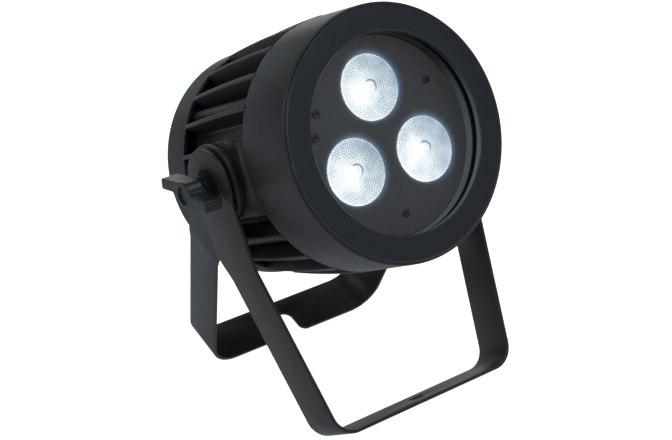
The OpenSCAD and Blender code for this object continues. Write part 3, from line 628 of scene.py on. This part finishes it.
def make_cover():
    """Rear cup with its rounded edge, screw counterbores, button holes and window recess."""
    back, rim, r = cover_low.z, -56.5, cover_high.x
    wall = 3
    outline = rounded(
        [(0, back), (r, back), (r, rim), (r - wall, rim), (r - wall, back + wall),
         (0, back + wall)],
        [0, 7, 0.8, 0.6, 4, 0], steps=12)
    piece = turned_piece("rear_cup", outline, CAST)
    holes = []
    for a in SCREW_SPOTS:
        x = COVER_SCREW_RING * math.cos(math.radians(a))
        y = COVER_SCREW_RING * math.sin(math.radians(a))
        holes.append(prism_data(disc_outline(3.1, 48, x, y), back - 1, back + 2.9))
    for node in ("button_menu", "button_down", "button_up", "button_enter"):
        low, high = head_box(node)
        middle = (low + high) / 2
        holes.append(prism_data(disc_outline(4.35, 48, middle.x, middle.y), back - 1, back + 2.6))
    low, high = head_box("display_window")
    corners = [(low.x - 0.2, low.y - 0.2), (high.x + 0.2, low.y - 0.2),
               (high.x + 0.2, high.y + 0.2), (low.x - 0.2, high.y + 0.2)]
    holes.append(prism_data(corners, back - 1, back + 1.8))
    boolean(piece, join_data(holes))
    bevelled(piece, 0.35, 2, 40)
    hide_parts("rear_cover")


def fin_ring(d, width, tip, inset=0.0):
    """Cross-section of a fin at one place along the head: flared root, rounded tip."""
    half, top, flare, corner = width / 2 - inset, tip - inset, 1.6, 1.0
    side = [(65.5, half + flare)]
    for k in range(5):
        a = math.pi / 2 * k / 4
        side.append((68 + flare * (1 - math.cos(a)) - 0.05, half + flare * (1 - math.sin(a))))
    for k in range(5):
        a = math.pi / 2 * k / 4
        side.append((top - corner + corner * math.sin(a), half - corner + corner * math.cos(a)))
    return [(r, t, d) for r, t in side] + [(r, -t, d) for r, t in reversed(side)]


def fin_data(start=0.0):
    """One fin along the head: an arched outer edge, thick at the front, rounded off at the rear."""
    front, rear = shell_low.z - 0.05, -55.3
    rings = []
    for k in range(13):
        share = start + (1 - start) * k / 12
        d = front - (front - rear - 1.2) * share
        tip = 85.2 * (1 - share) + 81.2 * share + 4.4 * share * (1 - share)
        rings.append(fin_ring(d, 4.4 - 1.4 * share, tip))
    for k in range(1, 5):
        a = math.pi / 2 * k / 4
        rings.append(fin_ring(rear + 1.2 * (1 - math.sin(a)), 3.0, 81.2, 1.2 * (1 - math.cos(a))))
    return loft_data(rings)


def rib_data():
    """One round rib between two fins, hiding a long screw."""
    rings = []
    for d, inset in ((36, 0), (-54.1, 0), (-54.9, 0.35), (-55.3, 1.2)):
        half = 4 - inset
        side = [(66, half + 1.2), (67.9, half + 1.2)]
        for k in range(1, 4):
            a = math.pi / 2 * k / 4
            side.append((67.9 + 1.2 * (1 - math.cos(a)), half + 1.2 * (1 - math.sin(a))))
        for k in range(9):
            a = math.pi / 2 * k / 8
            side.append((72.5 + half * math.sin(a), half * math.cos(a)))
        rings.append([(r, t, d) for r, t in side] + [(r, -t, d) for r, t in reversed(side[:-1])])
    return loft_data(rings)


def boss_data():
    """Side pad that runs forward to the housing, with a raised flat ring for the discs."""
    half, front, skin, root = 26.0, shell_low.z - 0.05, 83.8, 61
    across = [(math.sqrt(skin ** 2 - u * u), u) for u in [half + 2 - k for k in range(55)]]
    across += [(root, -half - 2), (root, half + 2)]
    strip = mesh_piece("pad", *prism_data(across, -30, front + 4), None, CAST)
    outline = [(half * math.cos(math.radians(a)), half * math.sin(math.radians(a)))
               for a in range(180, 361, 3)] + [(half, front), (-half, front)]
    boolean(strip, along_x(prism_data(outline, 60, 90)), "INTERSECT")
    bevelled(strip, 0.7, 3, 40)
    pad = mesh_data(strip)
    bpy.data.objects.remove(strip)
    disc = [(0, root), (25.6, root), (25.6, 84), (0, 84)]
    return pad, along_x(revolve_data(disc, 128))


def mesh_data(obj):
    """The (vertices, faces) of a piece, in millimetres in its own frame."""
    mesh = obj.data
    return [tuple(v.co / MM) for v in mesh.vertices], [list(f.vertices) for f in mesh.polygons]


def along_x(data):
    """Turns a shape drawn along +Z so that it lies along +X."""
    return [(z, x, y) for x, y, z in data[0]], data[1]


def mirrored_x(data):
    """The mirror image across X = 0, with its faces turned right side out."""
    return [(-x, y, z) for x, y, z in data[0]], [list(reversed(f)) for f in data[1]]


def make_sink():
    """Heat sink: tube and plate, fins, round ribs and the two side bosses, fused."""
    body = rounded(
        [(TUBE_IN, TUBE_BACK), (TUBE_R, TUBE_BACK), (TUBE_R, PLATE_BACK), (PLATE_R, PLATE_BACK),
         (PLATE_R, PLATE_FRONT), (0, PLATE_FRONT), (0, PLATE_BACK), (TUBE_IN, PLATE_BACK)],
        [0.3, 0.3, 1.5, 0.4, 0.4, 0, 0, 0], steps=3)
    piece = mesh_piece("finned_sink", *revolve_data(body, 256), "head", CAST)
    parts = []
    for i in range(FIN_COUNT):
        if i % 12:
            start = 0.5 if i % 12 in (1, 11) else 0.0
            parts.append(moved(fin_data(start), Matrix.Rotation(math.radians(15 * i), 4, "Z")))
    for a in (37.5, 142.5, 217.5, 322.5):
        parts.append(moved(rib_data(), Matrix.Rotation(math.radians(a), 4, "Z")))
    for shape in boss_data():
        parts += [shape, mirrored_x(shape)]
    boolean(piece, join_data(parts), "UNION")
    smooth(piece)
    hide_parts("heat_sink")


SPARKLE, BLOOM, VEIL = 0.22, 0.14, 0.022
LENSES = {}
for lens_node in ("lens_top", "lens_left", "lens_right"):
    lens_low, lens_high = head_box(lens_node)
    LENSES[lens_node] = ((lens_low + lens_high) / 2, (lens_high.x - lens_low.x) / 2, lens_high.z)


def panel_paint():
    """Matte dark panel with painted-on light: bloom and blue sparkle by the lenses, even haze."""
    s = Shader("panel_paint")
    where = s.add("TexCoord").outputs["Object"]
    dusty = s.noise(where, 40, 2.0)
    spark = s.ramp(s.noise(where, 0.55, 2.0, 0.6), 0.5, 0.75, 0.45, 1.9)
    bloom = 0.0
    sparkle = 0.0
    for middle, radius, _ in LENSES.values():
        flat = s.vector("MULTIPLY", s.vector("SUBTRACT", where, tuple(middle * MM)).outputs[0],
                        (1 / MM, 1 / MM, 0)).outputs[0]
        far = s.vector("LENGTH", flat).outputs["Value"]
        aside = s.vector("DOT_PRODUCT", s.vector("NORMALIZE", flat).outputs[0], (0.93, 0.35, 0))
        right = s.ramp(aside.outputs["Value"], -0.4, 0.7, 0.12, 1.0)
        near = s.maths("POWER", s.ramp(far, radius + 7.0, radius), 1.8)
        sparkle = s.maths("ADD", s.maths("MULTIPLY", near, right), sparkle)
        bloom = s.maths("ADD", s.maths("POWER", s.ramp(far, radius + 3.2, radius), 2.0), bloom)
    glow = s.maths("ADD", s.maths("MULTIPLY", s.maths("MULTIPLY", sparkle, spark), SPARKLE),
                   s.maths("MULTIPLY", bloom, BLOOM))
    body = s.add("BsdfPrincipled", {
        "Base Color": s.mix(dusty, rgb(0.03, 0.029, 0.028), rgb(0.034, 0.033, 0.033)),
        "Roughness": s.ramp(dusty, 0.3, 0.7, 0.58, 0.62),
        "Normal": s.bump(s.noise(where, 0.4), 0.0006),
        "Emission Color": rgb(0.32, 0.58, 0.9), "Emission Strength": glow})
    veil = s.add("Emission", {"Color": rgb(1.0, 0.98, 0.97), "Strength": VEIL})
    return s.finish(s.add("AddShader", {0: body.outputs[0], 1: veil.outputs[0]}).outputs[0])


def make_panel():
    """Lens panel with its three openings and the sunk seats of its screws."""
    back, face, r = panel_low.z, panel_high.z, panel_high.x
    outline = rounded([(0, back), (r, back), (r, face), (0, face)], [0, 0.2, 0.3, 0])
    piece = turned_piece("optic_panel", outline, panel_paint())
    holes = [prism_data(disc_outline(radius + 0.15, 96, middle.x, middle.y), back - 1, face + 1)
             for middle, radius, _ in LENSES.values()]
    for a in PANEL_SCREW_SPOTS:
        x = PANEL_SCREW_RING * math.cos(math.radians(a))
        y = PANEL_SCREW_RING * math.sin(math.radians(a))
        holes.append(prism_data(disc_outline(PANEL_SCREW_SEAT, 48, x, y), face - 1.3, face + 1))
    boolean(piece, join_data(holes))
    bevelled(piece, 0.3, 2, 40)
    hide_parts("lens_panel")


def micro_lens_data(radius, face, height=0.22, pitch=LENSLET):
    """A sheet of small six-sided domes that fills a disc of the given radius."""
    verts, faces, found = [], [], {}

    def vertex(x, y, z):
        reach = math.hypot(x, y)
        if reach > radius:
            x, y, z = x * radius / reach, y * radius / reach, min(z, face)
        key = (round(x, 3), round(y, 3), round(z, 3))
        if key not in found:
            found[key] = len(verts)
            verts.append((x, y, z))
        return found[key]

    side = pitch / math.sqrt(3)
    rows = int(radius / (pitch * math.sqrt(3) / 2)) + 1
    for row in range(-rows, rows + 1):
        for column in range(-rows - 2, rows + 3):
            x = (column + (row % 2) / 2) * pitch
            y = row * pitch * math.sqrt(3) / 2
            if math.hypot(x, y) > radius + side * 0.4:
                continue
            outer, inner = [], []
            for k in range(6):
                a = math.radians(60 * k + 30)
                outer.append(vertex(x + side * math.cos(a), y + side * math.sin(a), face))
                inner.append(vertex(x + side * 0.55 * math.cos(a), y + side * 0.55 * math.sin(a),
                                    face + height * 0.72))
            top = vertex(x, y, face + height)
            for k in range(6):
                n = (k + 1) % 6
                faces += [[outer[k], outer[n], inner[n], inner[k]], [inner[k], inner[n], top]]
    clean = []
    for face_points in faces:
        ring = [p for i, p in enumerate(face_points) if p != face_points[i - 1]]
        if len(ring) > 2:
            clean.append(ring)
    return verts, clean


def make_lens(node):
    """One lens: a solid optic with a rim and a face of small domes."""
    middle, radius, face = LENSES[node]
    back = head_box(node)[0].z
    body = rounded([(0, back + 5), (4.2, back + 5), (4.2, back), (7, back), (19.6, face - 3.8),
                    (radius, face - 3), (radius, face - 0.15), (radius - 0.5, face - 0.15),
                    (radius - 0.7, face - 0.32), (0, face - 0.32)],
                   [0, 0.3, 0.3, 0.3, 0.5, 0.3, 0.15, 0, 0, 0])
    parts = [revolve_data(body, 128), micro_lens_data(radius - 0.7, face - 0.3)]
    data = moved(join_data(parts), Matrix.Translation((middle.x, middle.y, 0)))
    piece = mesh_piece(node + "_optic", *data, "head", lens_glow(node + "_light", middle), sharp=60)
    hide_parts(node)


# ---- Knobs ----

def knob_data():
    """Overlapping closed shapes of one knob for the +X side."""
    r = 8.6
    hub = rounded([(0, 96.3), (r - 0.7, 96.3), (r - 0.7, 102), (r, 103), (r, 114.7), (6, 114.7),
                   (6, 113.1), (0, 113.1)], [0, 0.5, 0, 0, 0.9, 0.4, 0.4, 0])
    half = [(7.3, 3.9), (12.1, 1.5), (26.0, 3.6), (26.0, -3.8), (10.7, -6.2), (0.5, -r + 0.1)]
    outline = rounded(half + [(-x, -y) for x, y in half], [0.5, 7, 1.5, 1.5, 9, 0.5] * 2, 6)
    return along_x(revolve_data(hub, 96)), along_x(prism_data(outline, 102, 114.6))


def make_knob(node, body, turned):
    """Wing knob, fused and softened like moulded plastic, with a round recess in its face."""
    place = ON_AXIS @ Matrix.Rotation(math.pi, 4, "Z") if turned else ON_AXIS
    hub, wings = knob_data()
    piece = mesh_piece(node + "_wings", *wings, body, KNOB, place)
    boolean(piece, along_x(prism_data(disc_outline(7.4, 64), 110, 116)), "DIFFERENCE", place)
    boolean(piece, hub, "UNION", place)
    remeshed(piece, 0.3, 5)
    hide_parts(node)


# ---- CAD nodes that keep their own shape ----

KEPT = [
    ("front_bracket", WARM_LIT_STRAP, 0.45), ("rear_bracket", COOL_LIT_STRAP, 0.45),
    ("lock_washers", BLACK_STEEL, 0.0), ("bezel_screws", DARK_STEEL, 0.2),
    ("front_gasket", RUBBER, 0.0), ("front_glass", GLASS, 0.2), ("glass_seal", RUBBER, 0.0),
    ("panel_screws", BLACK_STEEL, 0.15), ("panel_standoffs", BRASS, 0.0),
    ("lens_holders", MOULDED, 0.0), ("led_emitters", PHOSPHOR, 0.0), ("led_board", WHITE, 0.0),
    ("board_screws", DARK_STEEL, 0.0), ("thermal_pad", FILM, 0.0), ("led_plug", NYLON, 0.2),
    ("housing_seal", RUBBER, 0.0), ("housing_screws", DARK_STEEL, 0.0),
    ("pivot_inserts", BRASS, 0.0), ("friction_discs", RUBBER, 0.4),
    ("pressure_washers", DARK_STEEL, 0.15), ("spacer_washers", MOULDED, 0.3),
    ("rear_seal", RUBBER, 0.0), ("cover_screws", DARK_STEEL, 0.2), ("lower_pillars", BRASS, 0.0),
    ("driver_board", GREEN, 0.0), ("upper_pillars", BRASS, 0.0), ("power_supply", GREEN, 0.0),
    ("pillar_screws", DARK_STEEL, 0.0), ("control_board", GREEN, 0.0),
    ("control_screws", DARK_STEEL, 0.0), ("button_switches", MOULDED, 0.0),
    ("display_module", SEGMENTS, 0.2), ("display_window", RED_PANE, 0.2),
    ("power_sockets", MOULDED, 0.35), ("signal_sockets", MOULDED, 0.35),
    ("pressure_vent", MOULDED, 0.4), ("safety_eye", ZINC, 0.8), ("eye_nut", ZINC, 0.0),
    ("led_cable", RED_WIRE, 0.0), ("supply_cables", BLACK_WIRE, 0.0), ("button_menu", BUTTON, 0.7),
    ("button_down", BUTTON, 0.7), ("button_up", BUTTON, 0.7), ("button_enter", BUTTON, 0.7),
    ("stud_left", ZINC, 0.0), ("stud_right", ZINC, 0.0),
]


# ---- Stage ----

FLOOR_REACH, FLOOR_DROP = 6000, 0.2
WORLD_LEVEL, FLOOR_GLOW = 0.02, 0.38
LIGHT_DISTANCE = 2.2
LENS_LENGTH, CAMERA_ROLL = 82.26, -2.912
CAMERA_PLACE, CAMERA_AHEAD = (-0.5573, -0.7754, 0.3905), (0.53146, 0.73466, -0.42164)


def make_floor():
    """Plain pale floor: white to the camera, and a dimmer glow for everything else."""
    s = Shader("floor_paper")
    where = s.add("TexCoord").outputs["Object"]
    mottle = s.mix(s.noise(where, 400), rgb(0.8, 0.8, 0.8), rgb(0.82, 0.82, 0.82))
    pale = s.add("BsdfDiffuse", {"Color": mottle})
    lift = s.add("Emission", {"Color": rgb(1, 1, 1), "Strength": 1.0})
    both = s.add("AddShader", {0: pale.outputs[0], 1: lift.outputs[0]})
    dim = s.add("BsdfDiffuse", {"Color": rgb(0.18, 0.18, 0.18)})
    glow = s.add("Emission", {"Color": rgb(0.93, 1.0, 1.1), "Strength": FLOOR_GLOW})
    quiet = s.add("AddShader", {0: dim.outputs[0], 1: glow.outputs[0]})
    eye = s.add("LightPath").outputs["Is Camera Ray"]
    shown = s.add("MixShader", {0: eye, 1: quiet.outputs[0], 2: both.outputs[0]})
    material = s.finish(shown.outputs[0])
    size, low = FLOOR_REACH, cad_low.z / MM - FLOOR_DROP
    corners = [(-size, -size, low), (size, -size, low), (size, size, low), (-size, size, low)]
    floor = mesh_piece("floor", corners, [[0, 1, 2, 3]], None, material, Matrix.Identity(4))


def make_world():
    """White to the camera, and a faint even light to everything else."""
    world = bpy.data.worlds.new("studio")
    world.use_nodes = True
    nodes, links = world.node_tree.nodes, world.node_tree.links
    nodes.clear()
    out = nodes.new("ShaderNodeOutputWorld")
    white, studio = nodes.new("ShaderNodeBackground"), nodes.new("ShaderNodeBackground")
    white.inputs[0].default_value = rgb(1, 1, 1)
    studio.inputs[0].default_value = rgb(1, 1, 1)
    studio.inputs[1].default_value = WORLD_LEVEL
    path, blend = nodes.new("ShaderNodeLightPath"), nodes.new("ShaderNodeMixShader")
    links.new(path.outputs["Is Camera Ray"], blend.inputs[0])
    links.new(studio.outputs[0], blend.inputs[1])
    links.new(white.outputs[0], blend.inputs[2])
    links.new(blend.outputs[0], out.inputs[0])
    bpy.context.scene.world = world


def soft_box(name, azimuth, height, power, colour, size=1.1):
    """A square soft light aimed at the pivot; azimuth 0 is ahead of the lamp and 90 its +X side."""
    data = bpy.data.lights.new(name, "AREA")
    data.shape, data.size = "SQUARE", size
    data.energy, data.color = power, colour
    light = bpy.data.objects.new(name, data)
    bpy.context.scene.collection.objects.link(light)
    a, e = math.radians(azimuth), math.radians(height)
    away = Vector((math.sin(a) * math.cos(e), -math.cos(a) * math.cos(e), math.sin(e)))
    light.location = PIVOT + away * LIGHT_DISTANCE
    light.rotation_euler = (-away).to_track_quat("-Z", "Y").to_euler()


LIGHTS = [
    ("high_right", 45, 65, 8.7, (0.87, 1.0, 1.08)),
    ("left", 292.5, 38, 6.0, (0.87, 1.0, 1.09)),
    ("left_back", 247.5, 38, 4.8, (1.02, 1.01, 0.88)),
    ("front", 22.5, 38, 4.3, (0.83, 1.0, 1.17)),
    ("right_back", 144, 8, 4.0, (0.99, 1.0, 1.0)),
    ("back", 157.5, 38, 3.6, (0.94, 1.02, 1.0)),
    ("low_back", 180, 8, 1.7, (0.9, 1.0, 1.06)),
    ("low_right", 36, 8, 1.4, (1.05, 0.96, 1.03)),
    ("low_left", 216, 8, 0.7, (0.84, 0.98, 1.35)),
    ("edge_strip", 302, 8, 1.3, (0.9, 1.0, 1.1), 0.45),
]


def make_camera():
    """Camera at the photograph's angle: ahead, to the left and above the lamp."""
    data = bpy.data.cameras.new("camera")
    data.sensor_width, data.lens = 36.0, LENS_LENGTH
    camera = bpy.data.objects.new("camera", data)
    bpy.context.scene.collection.objects.link(camera)
    ahead = Vector(CAMERA_AHEAD).normalized()
    right = ahead.cross(Vector((0, 0, 1))).normalized()
    up = right.cross(ahead)
    tilt = math.radians(CAMERA_ROLL)
    right, up = (right * math.cos(tilt) + up * math.sin(tilt),
                 up * math.cos(tilt) - right * math.sin(tilt))
    turn = Matrix((right, up, -ahead)).transposed().to_4x4()
    camera.matrix_world = Matrix.Translation(PIVOT + Vector(CAMERA_PLACE)) @ turn
    data.clip_start, data.clip_end = 0.05, 50
    bpy.context.scene.camera = camera


make_bezel()
make_housing()
make_cover()
make_sink()
make_panel()
for lens_node in LENSES:
    make_lens(lens_node)
make_knob("knob_left", "knob_left", True)
make_knob("knob_right", "knob_right", False)
for cad_node, finish, edge_mm in KEPT:
    dress(cad_node, finish, edge_mm)
make_floor()
make_world()
for light in LIGHTS:
    soft_box(*light)
make_camera()
bpy.context.scene.view_settings.view_transform = "Standard"
